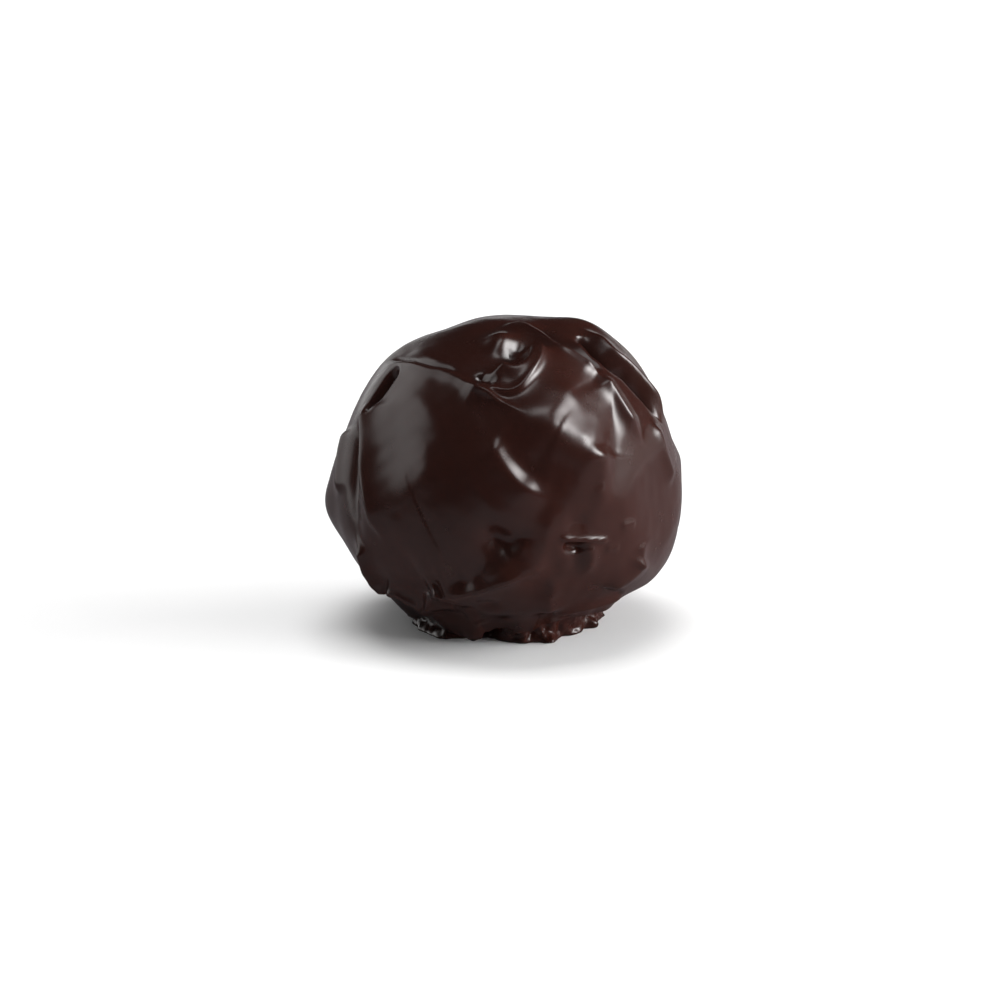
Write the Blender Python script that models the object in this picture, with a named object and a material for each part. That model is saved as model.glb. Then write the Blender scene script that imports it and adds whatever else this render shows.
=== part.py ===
"""A hand-dipped chocolate truffle: one lumpy ball of dark chocolate on a small uneven foot.

The ball starts as a cube whose faces are cut into a fine grid and blown up to a sphere. Every
point is then moved in or out along its own direction from the ball's centre, by flats, swells,
pits, ridges and grooves, each placed by azimuth and elevation in degrees.
Azimuth 0 is the front (-Y), 90 is the right (+X), and elevation 90 is the top.
The foot is a short cylinder with an uneven rim, and a Boolean union joins it to the ball.
"""

import math

import bmesh
import bpy
import numpy as np

MM = 0.001

# Driving sizes
HALF_WIDTH = 15.0 * MM
RISE_ABOVE_CENTRE = 14.8 * MM
DROP_BELOW_CENTRE = 12.0 * MM
CENTRE_HEIGHT = 11.3 * MM
HEM_HEIGHT = 1.5 * MM
FOOT_RADIUS = 8.3 * MM
FOOT_TOP = 2.2 * MM
FOOT_WAVINESS = 0.35 * MM
FOOT_UNDERCUT = 0.4 * MM

# Fineness of the two meshes
GRID_CUTS = 26
FOOT_SEGMENTS = 64
STEPS_PER_SPAN = 10

# Rounding of every ridge's crest, in mm
CREST_ROUNDING = 0.3

CHOCOLATE_COLOUR = (0.022, 0.010, 0.008, 1.0)
CHOCOLATE_ROUGHNESS = 0.35

# In all tables below a place is (azimuth, elevation) in degrees, and other sizes are in mm.

# Flats left by rolling: place, depth shaved off the ball, softness of the rim
FLATS = (
    ((-49, 27), 0.46, 0.5),
    ((3, 20), 0.36, 0.8),
    ((62, 4), 0.55, 0.5),
    ((150, 5), 0.60, 0.5),
    ((-140, 10), 0.70, 0.5),
    ((180, -30), 0.50, 0.5),
)

# Broad swells, and hollows where the height is negative: place, height, radius
SWELLS = (
    ((108, 50), 1.15, 5.5),
    ((119, 61), 0.5, 2.2),
    ((-107, 53), 0.3, 4.0),
    ((-130, 66), -0.5, 2.8),
    ((-97, 20), -0.4, 3.0),
    ((-86, -4), 0.6, 2.4),
    ((-90, -27), -1.1, 3.2),
    ((88, -28), 0.9, 4.5),
    ((-3, 71), 0.9, 1.5),
    ((27, 44), 0.2, 1.7),
    ((-160, 60), 0.5, 5.0),
    ((165, -5), 0.4, 5.0),
)

# Pits: place of the two ends of the long axis, half-width, depth
PITS = (
    ((-69, 46), (-68, 35), 0.75, 1.5),
    ((-3, -1), (2, -1), 1.25, 0.95),
    ((-13, 53), (-8, 51), 0.60, 0.4),
    ((8, 64), (10, 67), 1.20, 0.7),
    ((19, -5), (26, -5), 0.60, 0.5),
    ((166, 33), (160, 31), 1.20, 0.45),
    ((-150, -2), (-147, -8), 0.90, 0.45),
)

# Ridges, and grooves where the height is negative: height, width of the flank on the left hand
# of someone who walks the route, width of the one on the right hand, route
RIDGES = (
    # The rolled lip of the front runs on the cap, and the crease behind it
    (0.50, 0.4, 0.6, ((-110, 42), (-90, 47), (-73, 51), (-55, 54), (-36, 54), (-18, 50), (1, 42))),
    (-0.25, 0.45, 0.4, ((-90, 51), (-65, 55), (-36, 56), (-20, 52))),
    # The broad fold down to the shoulder's corner, and the upright edge under it
    (1.30, 2.6, 2.0, ((-3, 45), (9, 38), (20, 30), (31, 24), (41, 19))),
    (0.60, 1.6, 0.9, ((35, 27), (34, 19), (32, 11), (29, 1))),
    # Runs down the left side
    (0.80, 1.2, 0.6, ((-70, 37), (-62, 27), (-55, 17), (-50, 9), (-46, 1), (-42, -9))),
    (-0.90, 0.8, 0.8, ((-70, 29), (-67, 20), (-63, 12), (-57, -3))),
    (0.50, 0.6, 0.6, ((-80, 25), (-77, 18), (-73, 10), (-70, 3))),
    (0.80, 0.6, 0.6, ((-60, -4), (-54, -13), (-55, -20), (-53, -29))),
    (0.85, 0.6, 0.5, ((-50, -25), (-43, -27), (-37, -29), (-36, -34), (-37, -40))),
    # The two rims of the dish on top
    (1.10, 0.6, 1.8, ((-6, 60), (1, 56), (9, 56), (16, 61), (21, 67))),
    (0.40, 0.5, 0.4, ((-16, 51), (-5, 48), (7, 48), (14, 53), (22, 59), (27, 66))),
    # Laps from the top down the right shoulder, with the crevice between two of them
    (0.80, 0.6, 0.6, ((10, 87), (34, 81), (41, 72), (43, 62), (49, 54), (52, 46))),
    (-0.50, 1.0, 0.8, ((70, 82), (58, 70), (57, 58), (58, 52))),
    (0.95, 0.9, 0.8, ((51, 51), (52, 42), (53, 33), (59, 21))),
    (-2.00, 0.5, 0.5, ((80, 66), (70, 58), (69, 52), (72, 46), (75, 38), (77, 30), (79, 24))),
    (0.90, 0.9, 0.5, ((99, 66), (81, 57), (78, 51), (80, 45), (82, 36), (87, 24))),
    (0.45, 0.7, 0.6, ((68, 30), (69, 21), (71, 14), (75, 6))),
    # The right face
    (0.30, 0.4, 0.4, ((16, -1), (24, -2), (36, -4))),
    (0.40, 0.7, 0.5, ((29, -6), (29, -12), (27, -15))),
    (0.50, 1.2, 0.9, ((54, -13), (47, -20), (42, -25))),
    (0.50, 0.8, 0.5, ((26, -34), (40, -31), (47, -30))),
    # The curved fold in the middle of the front and the hollow beside it
    (0.60, 0.6, 3.0, ((-7, 34), (-2, 25), (3, 18), (12, 12), (17, 11))),
    (-0.35, 1.9, 0.8, ((-2, 33), (4, 25), (11, 19), (15, 17))),
    # The valley from the pit, the apron's edge under it and the folds that cross them
    (-0.60, 0.9, 2.6, ((4, -1), (-4, -7), (-14, -16), (-20, -19))),
    (1.40, 1.3, 2.4, ((16, -8), (6, -11), (-4, -15), (-13, -19), (-28, -23))),
    (0.35, 0.9, 0.9, ((18, 18), (14, 3), (11, -6), (8, -15))),
    (0.35, 0.9, 0.6, ((16, -13), (16, -25), (20, -36))),
    (0.65, 0.8, 0.6, ((-22, -19), (-26, -25), (-31, -31), (-31, -36))),
    # The back
    (0.50, 0.5, 0.8, ((140, 62), (132, 40), (138, 20), (128, 0))),
    (0.50, 0.6, 0.5, ((-120, 30), (-128, 10), (-118, -12), (-124, -28))),
    (0.40, 0.5, 0.8, ((178, 20), (-170, 2), (-178, -18), (168, -30))),
    (0.45, 1.5, 0.4, ((-150, 50), (-176, 44), (160, 50))),
    (0.60, 1.0, 2.0, ((97, 18), (102, 5), (109, -8), (106, -22))),
    (0.40, 1.6, 0.7, ((124, 26), (117, 8), (121, -10), (131, -24))),
)


def direction(place):
    """Unit vector from the ball's centre towards a place."""
    turn = math.radians(place[0])
    lift = math.radians(place[1])
    flat = math.cos(lift)
    return np.array((math.sin(turn) * flat, -math.cos(turn) * flat, math.sin(lift)))


def smooth_route(places):
    """Unit vectors along a Catmull-Rom curve through the places."""
    knots = [direction(place) for place in places]
    knots = [2 * knots[0] - knots[1], *knots, 2 * knots[-1] - knots[-2]]
    steps = np.linspace(0, 1, STEPS_PER_SPAN, endpoint=False)[:, None]
    spans = []
    for before, start, end, after in zip(knots, knots[1:], knots[2:], knots[3:]):
        slope_in = (end - before) / 2
        slope_out = (after - start) / 2
        bend = 3 * (end - start) - 2 * slope_in - slope_out
        twist = 2 * (start - end) + slope_in + slope_out
        spans.append(start + steps * (slope_in + steps * (bend + steps * twist)))
    spans.append(knots[-2][None, :])
    route = np.concatenate(spans)
    return route / np.linalg.norm(route, axis=1, keepdims=True)


def from_route(rays, places):
    """Signed distance of each ray to the left of a route in mm, and a fade to 0 at its ends."""
    route = smooth_route(places)
    left = np.cross(route, np.gradient(route, axis=0))
    left /= np.linalg.norm(left, axis=1, keepdims=True)
    closeness = rays @ route.T
    nearest = closeness.argmax(axis=1)
    angle = np.arccos(np.clip(closeness.max(axis=1), -1, 1))
    side = np.sign(np.einsum("ij,ij->i", rays, left[nearest]))
    share = nearest / (len(route) - 1)
    fade = np.clip(np.minimum(share, 1 - share) / 0.22, 0, 1)
    fade = fade * fade * (3 - 2 * fade)
    return side * angle * HALF_WIDTH / MM, fade


def shave_flats(rays, reach):
    """Bring each ray's reach down to the flats, with a soft minimum."""
    for place, depth, softness in FLATS:
        facing = np.maximum(rays @ direction(place), 1e-3)
        flat = (HALF_WIDTH / MM - depth) / facing
        gap = np.clip(0.5 + 0.5 * (flat - reach) / softness, 0, 1)
        reach = flat + (reach - flat) * gap - softness * gap * (1 - gap)
    return reach


def swell_height(rays):
    """Sum of the broad swells in mm, each a bell curve of the angle from its place."""
    height = np.zeros(len(rays))
    for place, rise, radius in SWELLS:
        apart = np.arccos(np.clip(rays @ direction(place), -1, 1)) * HALF_WIDTH / MM
        height += rise * np.exp(-((apart / radius) ** 2))
    return height


def pit_depth(rays):
    """Sum of the pits in mm, each a bell curve of the distance from a short line."""
    depth = np.zeros(len(rays))
    for start, end, half_width, deepest in PITS:
        apart, _ = from_route(rays, (start, end))
        depth += deepest * np.exp(-((apart / half_width) ** 2))
    return depth


def ridge_height(rays):
    """Sum of the ridges and grooves in mm, which fall off exponentially from a rounded crest."""
    height = np.zeros(len(rays))
    for rise, left_width, right_width, places in RIDGES:
        apart, fade = from_route(rays, places)
        width = np.where(apart > 0, left_width, right_width)
        away = np.hypot(apart, CREST_ROUNDING) - CREST_ROUNDING
        height += rise * fade * np.exp(-away / width)
    return height


def ball_points(rays):
    """Points of the ball's surface along the given rays, in metres."""
    below = rays[:, 2] < 0
    rise = np.where(below, DROP_BELOW_CENTRE, RISE_ABOVE_CENTRE)
    across = np.hypot(rays[:, 0], rays[:, 1])
    reach = 1 / np.sqrt((across / HALF_WIDTH) ** 2 + (rays[:, 2] / rise) ** 2) / MM
    reach = shave_flats(rays, reach)
    reach += swell_height(rays) + ridge_height(rays) - pit_depth(rays)
    points = rays * (reach * MM)[:, None]
    points[:, 2] += CENTRE_HEIGHT
    turn = np.arctan2(points[:, 0], -points[:, 1])
    hem = HEM_HEIGHT - 0.35 * MM * np.cos(2 * (turn + 0.3)) + 0.15 * MM * np.sin(7 * turn)
    points[:, 2] = np.maximum(points[:, 2], hem)
    return points


def put_in(collection, name, mesh):
    """Link a new object with this mesh into the collection."""
    thing = bpy.data.objects.new(name, mesh)
    collection.objects.link(thing)
    return thing


def make_ball(collection):
    """The ball: a finely cut cube blown up to a sphere, with its surface then shaped."""
    form = bmesh.new()
    bmesh.ops.create_cube(form, size=2)
    bmesh.ops.subdivide_edges(form, edges=form.edges[:], cuts=GRID_CUTS, use_grid_fill=True)
    corners = np.array([vertex.co[:] for vertex in form.verts])
    # Equal angles instead of equal lengths keep the cells of one size
    corners = np.tan(corners * math.pi / 4)
    rays = corners / np.linalg.norm(corners, axis=1, keepdims=True)
    for vertex, point in zip(form.verts, ball_points(rays)):
        vertex.co = point
    bmesh.ops.triangulate(form, faces=form.faces[:])
    mesh = bpy.data.meshes.new("truffle")
    form.to_mesh(mesh)
    form.free()
    return put_in(collection, "truffle", mesh)


def make_foot(collection):
    """The foot: a short cylinder with a wavy rim, a little narrower at the top than at the bottom."""
    form = bmesh.new()
    bmesh.ops.create_cone(
        form,
        cap_ends=True,
        segments=FOOT_SEGMENTS,
        radius1=FOOT_RADIUS,
        radius2=FOOT_RADIUS - FOOT_UNDERCUT,
        depth=FOOT_TOP,
    )
    for vertex in form.verts:
        turn = math.atan2(vertex.co.x, -vertex.co.y)
        wave = math.sin(3 * turn + 0.4) + 0.6 * math.sin(7 * turn) + 0.4 * math.sin(11 * turn + 1)
        front_right = math.exp(-(((turn - math.radians(22)) / 0.3) ** 2))
        grown = 1 + (FOOT_WAVINESS * wave * 0.5 + 0.7 * MM * front_right) / FOOT_RADIUS
        vertex.co.x *= grown
        vertex.co.y *= grown
        vertex.co.z += FOOT_TOP / 2
    mesh = bpy.data.meshes.new("foot_joined_in")
    form.to_mesh(mesh)
    form.free()
    return put_in(collection, "foot_joined_in", mesh)


def chocolate():
    """Dark chocolate coat with a soft gloss."""
    material = bpy.data.materials.new("dark_chocolate")
    material.use_nodes = True
    shader = material.node_tree.nodes["Principled BSDF"]
    shader.inputs["Base Color"].default_value = CHOCOLATE_COLOUR
    shader.inputs["Roughness"].default_value = CHOCOLATE_ROUGHNESS
    shader.inputs["Metallic"].default_value = 0.0
    material.diffuse_color = CHOCOLATE_COLOUR
    return material


def main():
    for thing in list(bpy.data.objects):
        bpy.data.objects.remove(thing)
    sweet = bpy.data.collections.new("chocolate_truffle")
    helpers = bpy.data.collections.new("helpers")
    bpy.context.scene.collection.children.link(sweet)
    bpy.context.scene.collection.children.link(helpers)

    ball = make_ball(sweet)
    foot = make_foot(helpers)
    foot.hide_render = True
    foot.display_type = "WIRE"
    join = ball.modifiers.new("join_foot", "BOOLEAN")
    join.operation = "UNION"
    join.solver = "EXACT"
    join.object = foot

    ball.data.materials.append(chocolate())
    ball.data.shade_smooth()
    ball.data.set_sharp_from_angle(angle=math.radians(50))


main()
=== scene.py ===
"""Looks of a hand-dipped dark chocolate truffle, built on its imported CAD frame.

The truffle is a ball of ganache rolled by hand, dipped in tempered chocolate and set on a flat
sheet. Its coat shows what the dipping left: laps where one run of chocolate ends on another,
ridges drawn up by the fork, pits, and a hem that sags over a small ragged foot.

All shapes are in millimetres and degrees and are turned to metres when a mesh is made.
Azimuth 0 is the front (-Y), 90 is the right (+X), and elevation 90 is the top.
"""

import logging
import math
from abc import ABC, abstractmethod
from dataclasses import dataclass
from enum import Enum
from typing import Any, ClassVar

import bpy
import numpy as np
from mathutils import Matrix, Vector


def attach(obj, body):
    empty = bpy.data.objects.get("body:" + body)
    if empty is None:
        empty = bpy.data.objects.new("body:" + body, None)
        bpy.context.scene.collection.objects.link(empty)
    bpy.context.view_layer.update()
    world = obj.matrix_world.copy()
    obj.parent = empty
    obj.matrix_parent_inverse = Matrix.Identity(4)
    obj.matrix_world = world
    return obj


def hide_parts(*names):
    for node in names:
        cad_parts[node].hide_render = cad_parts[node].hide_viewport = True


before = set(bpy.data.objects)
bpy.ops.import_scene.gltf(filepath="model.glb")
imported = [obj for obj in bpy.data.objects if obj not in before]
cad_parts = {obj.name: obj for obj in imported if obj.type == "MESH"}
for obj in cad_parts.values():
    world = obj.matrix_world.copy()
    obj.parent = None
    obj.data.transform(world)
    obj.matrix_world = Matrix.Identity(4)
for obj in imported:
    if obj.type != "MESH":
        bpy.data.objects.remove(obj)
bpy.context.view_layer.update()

log = logging.getLogger("truffle")

MM = 0.001
Place = tuple[float, float]


def linear_rgba(code: str) -> tuple[float, float, float, float]:
    """Turn an sRGB hex colour into linear RGBA.

    Args:
        code: Six hex digits, such as "3A241E".

    Returns:
        Red, green, blue and an alpha of 1, each from 0 to 1.
    """
    shares = [int(code[start : start + 2], 16) / 255 for start in (0, 2, 4)]
    red, green, blue = (
        share / 12.92 if share <= 0.04045 else ((share + 0.055) / 1.055) ** 2.4 for share in shares
    )
    return red, green, blue, 1.0


def add_node(
    tree: bpy.types.NodeTree,
    kind: str,
    settings: dict[str, Any] | None = None,
    values: dict[str | int, Any] | None = None,
    links: dict[str | int, bpy.types.NodeSocket] | None = None,
) -> bpy.types.Node:
    """Add a node with its settings, socket values and incoming links.

    Args:
        tree: The node tree that gets the node.
        kind: Blender's name for the node's type.
        settings: Attributes of the node.
        values: Default values by input socket name or number.
        links: Sockets of other nodes, by the name or number of the input that each feeds.

    Returns:
        The new node.
    """
    node = tree.nodes.new(kind)
    for name, value in (settings or {}).items():
        setattr(node, name, value)
    for socket, value in (values or {}).items():
        node.inputs[socket].default_value = value
    for socket, source in (links or {}).items():
        tree.links.new(source, node.inputs[socket])
    return node


def direction(place: Place) -> np.ndarray:
    """Unit vector from the ball's centre towards a place of azimuth and elevation."""
    turn, lift = math.radians(place[0]), math.radians(place[1])
    return np.array(
        (math.sin(turn) * math.cos(lift), -math.cos(turn) * math.cos(lift), math.sin(lift))
    )


def ease(share: np.ndarray) -> np.ndarray:
    """Smooth step from 0 to 1 with level ends: 3 t^2 - 2 t^3 of the share held within 0 to 1."""
    held = np.clip(share, 0.0, 1.0)
    return held * held * (3.0 - 2.0 * held)


@dataclass(frozen=True)
class Nearby:
    """How the rays close to a route lie on it.

    Args:
        rays: Numbers of the rays that are within reach.
        across: Distance to the left of the route in mm, negative on its right.
        beyond: Distance past either end in mm, 0 beside the route.
        share: How far along the route the nearest point is, from 0 to 1.
        left: Unit vector to the route's left at the nearest point.
    """

    rays: np.ndarray
    across: np.ndarray
    beyond: np.ndarray
    share: np.ndarray
    left: np.ndarray


@dataclass(frozen=True)
class Route:
    """A smooth line over the ball through a few places."""

    places: tuple[Place, ...]

    def line(self, steps: int = 14) -> np.ndarray:
        """Unit vectors along a Catmull-Rom curve through the places.

        Args:
            steps: Points for each span between two places.

        Returns:
            An array of unit vectors, one in a row.
        """
        knots = [direction(place) for place in self.places]
        knots = [2 * knots[0] - knots[1], *knots, 2 * knots[-1] - knots[-2]]
        share = np.linspace(0.0, 1.0, steps, endpoint=False)[:, None]
        spans = []
        for before, start, end, after in zip(knots, knots[1:], knots[2:], knots[3:]):
            away, into = (end - before) / 2, (after - start) / 2
            bend = 3 * (end - start) - 2 * away - into
            twist = 2 * (start - end) + away + into
            spans.append(start + share * (away + share * (bend + share * twist)))
        spans.append(knots[-2][None, :])
        points = np.concatenate(spans)
        return points / np.linalg.norm(points, axis=1, keepdims=True)

    def nearby(self, rays: np.ndarray, reach: float, radius: float) -> Nearby:
        """Find the rays within reach of the route and measure them against it.

        The distance across is the arcsine of the ray's part along the route's left, times the
        ball's radius, and the distance beyond is the same with the way ahead at the two ends.

        Args:
            rays: Unit vectors, one in a row.
            reach: Largest distance that matters, in mm.
            radius: The ball's radius in mm.

        Returns:
            The rays' places beside the route.
        """
        line = self.line()
        ahead = np.gradient(line, axis=0)
        ahead /= np.linalg.norm(ahead, axis=1, keepdims=True)
        left = np.cross(line, ahead)
        left /= np.linalg.norm(left, axis=1, keepdims=True)
        middle = line.mean(axis=0)
        middle /= np.linalg.norm(middle)
        spread = math.acos(float(np.clip((line @ middle).min(), -1.0, 1.0))) + reach / radius
        close = np.flatnonzero(rays @ middle > math.cos(min(spread, math.pi)))
        likeness = rays[close] @ line.T
        nearest = likeness.argmax(axis=1)
        near_enough = likeness[np.arange(len(close)), nearest] > math.cos(reach / radius)
        close, nearest = close[near_enough], nearest[near_enough]
        chosen = rays[close]
        across = np.arcsin(np.clip(np.einsum("ij,ij->i", chosen, left[nearest]), -1, 1)) * radius
        forward = np.arcsin(np.clip(np.einsum("ij,ij->i", chosen, ahead[nearest]), -1, 1)) * radius
        at_start, at_end = nearest == 0, nearest == len(line) - 1
        beyond = np.where(at_start, np.maximum(-forward, 0), 0) + np.where(
            at_end, np.maximum(forward, 0), 0
        )
        spacing = np.linalg.norm(line[1] - line[0]) * radius
        share = (nearest + np.clip(forward / max(spacing, 1e-6), -0.5, 0.5)) / (len(line) - 1)
        return Nearby(close, across, beyond, np.clip(share, 0, 1), left[nearest])


@dataclass(frozen=True)
class Relief:
    """What a feature adds to the coat.

    Args:
        rays: Numbers of the rays that it changes.
        height: What it adds along each of them in mm.
        shift: How far it moves each point sideways in mm, or None.
    """

    rays: np.ndarray
    height: np.ndarray
    shift: np.ndarray | None = None


@dataclass(frozen=True)
class Ridge:
    """A line drawn up in soft chocolate, or a groove where the height is negative.

    Args:
        height: Height of the crest in mm.
        left: Width of its left flank in mm.
        right: Width of its right flank in mm.
        route: Places along the crest.
        crest: Rounding of the crest in mm.
        fade: Shares of the route over which its start and its end rise from nothing.
        lean: How far the crest is pushed to its left, in mm.
    """

    # Flank widths at which nothing is left of it
    REACH: ClassVar[float] = 4.5

    height: float
    left: float
    right: float
    route: tuple[Place, ...]
    crest: float = 0.12
    fade: tuple[float, float] = (0.2, 0.2)
    lean: float = 0.0

    def relief(self, rays: np.ndarray, radius: float) -> Relief:
        """Height that falls off exponentially from the crest, at its own rate on each side.

        The outer half of the reach brings what is left smoothly down to nothing.

        Args:
            rays: Unit vectors, one in a row.
            radius: The ball's radius in mm.

        Returns:
            The ridge's height and sideways shift.
        """
        reach = self.REACH * max(self.left, self.right) + self.crest
        near = Route(self.route).nearby(rays, reach, radius)
        width = np.where(near.across > 0, self.left, self.right)
        away = np.hypot(near.across, near.beyond)
        fall = np.exp(-(np.sqrt(away**2 + self.crest**2) - self.crest) / width)
        fall *= ease((reach - away) / (0.5 * reach))
        start, end = self.fade
        shape = fall * ease(near.share / start) * ease((1 - near.share) / end)
        shift = near.left * (self.lean * shape**2)[:, None] if self.lean else None
        return Relief(near.rays, self.height * shape, shift)


@dataclass(frozen=True)
class Pit:
    """A hollow with a rounded floor along a short line, and a rim if it has one.

    Args:
        depth: Depth of the floor in mm.
        width: Half-width in mm.
        route: Places along its long axis.
        steep: 2 for a bowl, more for a flat floor with steep walls.
        rim: Height of the rim around it in mm.
    """

    # Half-widths at which nothing is left of it, and the rim's place and width
    REACH: ClassVar[float] = 3.2
    RIM_PLACE: ClassVar[float] = 1.5
    RIM_WIDTH: ClassVar[float] = 0.45

    depth: float
    width: float
    route: tuple[Place, ...]
    steep: float = 2.0
    rim: float = 0.0

    def relief(self, rays: np.ndarray, radius: float) -> Relief:
        """Depth that falls off as e to the minus (distance / width) to the power steep.

        The rim is a bell curve of the distance, outside the hollow.

        Args:
            rays: Unit vectors, one in a row.
            radius: The ball's radius in mm.

        Returns:
            The pit's height, negative inside it.
        """
        near = Route(self.route).nearby(rays, self.REACH * self.width, radius)
        away = np.hypot(near.across, near.beyond) / self.width
        height = -self.depth * np.exp(-(away**self.steep))
        height += self.rim * np.exp(-(((away - self.RIM_PLACE) / self.RIM_WIDTH) ** 2))
        return Relief(near.rays, height)


@dataclass(frozen=True)
class Swell:
    """A broad rise, or a hollow where the height is negative.

    Args:
        height: Height in mm.
        radius: Distance in mm at which it has fallen to e^-1.
        place: Its middle.
    """

    # Cosine of the angle from its middle at which nothing is left of it
    REACH: ClassVar[float] = 0.2

    height: float
    radius: float
    place: Place

    def relief(self, rays: np.ndarray, radius: float) -> Relief:
        """Height as a bell curve of the distance from the middle.

        Args:
            rays: Unit vectors, one in a row.
            radius: The ball's radius in mm.

        Returns:
            The swell's height.
        """
        middle = direction(self.place)
        close = np.flatnonzero(rays @ middle > self.REACH)
        side = np.cross((0.0, 0.0, 1.0), middle)
        side /= np.linalg.norm(side)
        up = np.cross(middle, side)
        across = rays[close] @ side * radius / self.radius
        along = rays[close] @ up * radius / self.radius
        return Relief(close, self.height * np.exp(-(across**2 + along**2)))


@dataclass(frozen=True)
class Flat:
    """A flattened patch that the palm or the sheet left.

    Args:
        depth: How much is shaved off the ball at the middle, in mm.
        place: Its middle.
        soft: Width of the soft rim in mm.
    """

    depth: float
    place: Place
    soft: float = 0.5

    def shave(self, rays: np.ndarray, reach: np.ndarray, radius: float) -> np.ndarray:
        """Bring the reach down to a plane square to the place, with a soft minimum.

        Along a ray, the plane's distance is the radius less the depth, over the cosine of the
        ray's angle to the place. Where plane and surface are close, the two are blended and
        up to a quarter of the rim's width is taken off. Behind the centre the plane is taken as
        very far off.

        Args:
            rays: Unit vectors, one in a row.
            reach: Distance of the surface from the centre along each ray, in mm.
            radius: The ball's radius in mm.

        Returns:
            The new reach.
        """
        facing = np.maximum(rays @ direction(self.place), 1e-3)
        plane = (radius - self.depth) / facing
        share = np.clip(0.5 + 0.5 * (plane - reach) / self.soft, 0.0, 1.0)
        return plane + (reach - plane) * share - self.soft * share * (1 - share)


@dataclass(frozen=True)
class Ripple:
    """Smooth uneven relief: a sum of plane waves that run in seeded directions.

    Args:
        height: Height that it mostly stays within, up and down.
        pitch: Middle wavelength in mm.
        seed: Seed of the directions and the phases.
        waves: Number of waves.
    """

    # Shortest and longest wave as shares of the pitch
    SPREAD: ClassVar[tuple[float, float]] = (0.7, 1.5)

    height: float
    pitch: float
    seed: int
    waves: int = 24

    def at(self, points: np.ndarray) -> np.ndarray:
        """Sum of the sines at the points, over the square root of their number.

        Args:
            points: Points in mm, one in a row.

        Returns:
            A height for each point.
        """
        rng = np.random.default_rng(self.seed)
        ways = rng.normal(size=(self.waves, 3))
        ways /= np.linalg.norm(ways, axis=1, keepdims=True)
        rates = 2 * math.pi / (self.pitch * rng.uniform(*self.SPREAD, self.waves))
        phases = rng.uniform(0, 2 * math.pi, self.waves)
        sines = np.sin(points @ (ways * rates[:, None]).T + phases)
        return self.height * (sines.sum(axis=1) / math.sqrt(self.waves))


# A ridge's left flank is the upper one where its route runs to the right
Feature = Ridge | Pit | Swell

FLATS: tuple[Flat, ...] = (
    # The panel on the left shoulder, the front and the right side
    Flat(0.46, (-46.5, 25)),
    Flat(0.32, (6, 21), soft=0.8),
    Flat(0.55, (62, 4)),
    # The back
    Flat(0.60, (150, 5)),
    Flat(0.70, (-140, 10)),
    Flat(0.50, (180, -30)),
)

# The ball isn't round: broad rises and hollows that rolling it by hand left
SWELLS: tuple[Feature, ...] = (
    Swell(1.15, 5.5, (108, 50)),
    Swell(0.5, 2.2, (119, 61)),
    Swell(0.3, 4.0, (-107, 53)),
    Swell(-0.5, 2.8, (-130, 66)),
    Swell(-0.4, 3.0, (-97, 20)),
    Swell(0.6, 2.4, (-86, -4)),
    Swell(-1.1, 3.2, (-90, -27)),
    Swell(0.9, 4.5, (88, -28)),
    Swell(0.5, 5.0, (-160, 60)),
    Swell(0.4, 5.0, (165, -5)),
)

# The front run of chocolate ends on the cap in a lip, and a fold leads on from it to the right
SHOULDER: tuple[Feature, ...] = (
    # The rolled lip
    Ridge(0.50, 0.25, 0.6, crest=0.25, fade=(0.35, 0.2), route=(
        (-112, 41), (-100, 45), (-90, 47.5), (-80, 49.5), (-73, 51.5), (-65, 53), (-55, 53.6),
        (-45, 53.8), (-36, 54), (-26, 52.5), (-18.5, 49.8), (-13.5, 47.9), (-8, 46.4), (-4, 44.6),
        (1, 42.4),
    )),
    # The crease behind it, and the cap's own low edge
    Ridge(-0.30, 0.12, 0.16, crest=0.08, fade=(0.2, 0.3), route=(
        (-92, 50), (-84, 52.5), (-65, 55.4), (-55, 56), (-45, 56), (-36, 56), (-28, 54.6),
        (-20, 52.4),
    )),
    Ridge(0.10, 0.9, 0.3, crest=0.25, fade=(0.2, 0.3), route=(
        (-84, 57), (-72, 58.6), (-60, 59), (-48, 58.8), (-38, 58), (-28, 56.2), (-18, 53.4),
        (-10, 50.6),
    )),
    # A fine crest carries the lip on to the fold
    Ridge(0.35, 0.25, 0.4, fade=(0.3, 0.4), route=(
        (-26, 52.5), (-18.5, 49.8), (-13.5, 47.9), (-8, 46.3), (-4, 44.4), (1, 42.2), (5, 40.2),
        (9, 37.6),
    )),
    # The broad fold, from the lip's end down to the right shoulder's corner
    Ridge(1.30, 2.6, 2.0, crest=1.7, fade=(0.4, 0.3), route=(
        (-3, 44.6), (3, 41.6), (9, 38), (15, 34), (20.5, 30.4), (26, 27), (31, 24.2), (36, 21.6),
        (41, 19.4),
    )),
)

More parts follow.
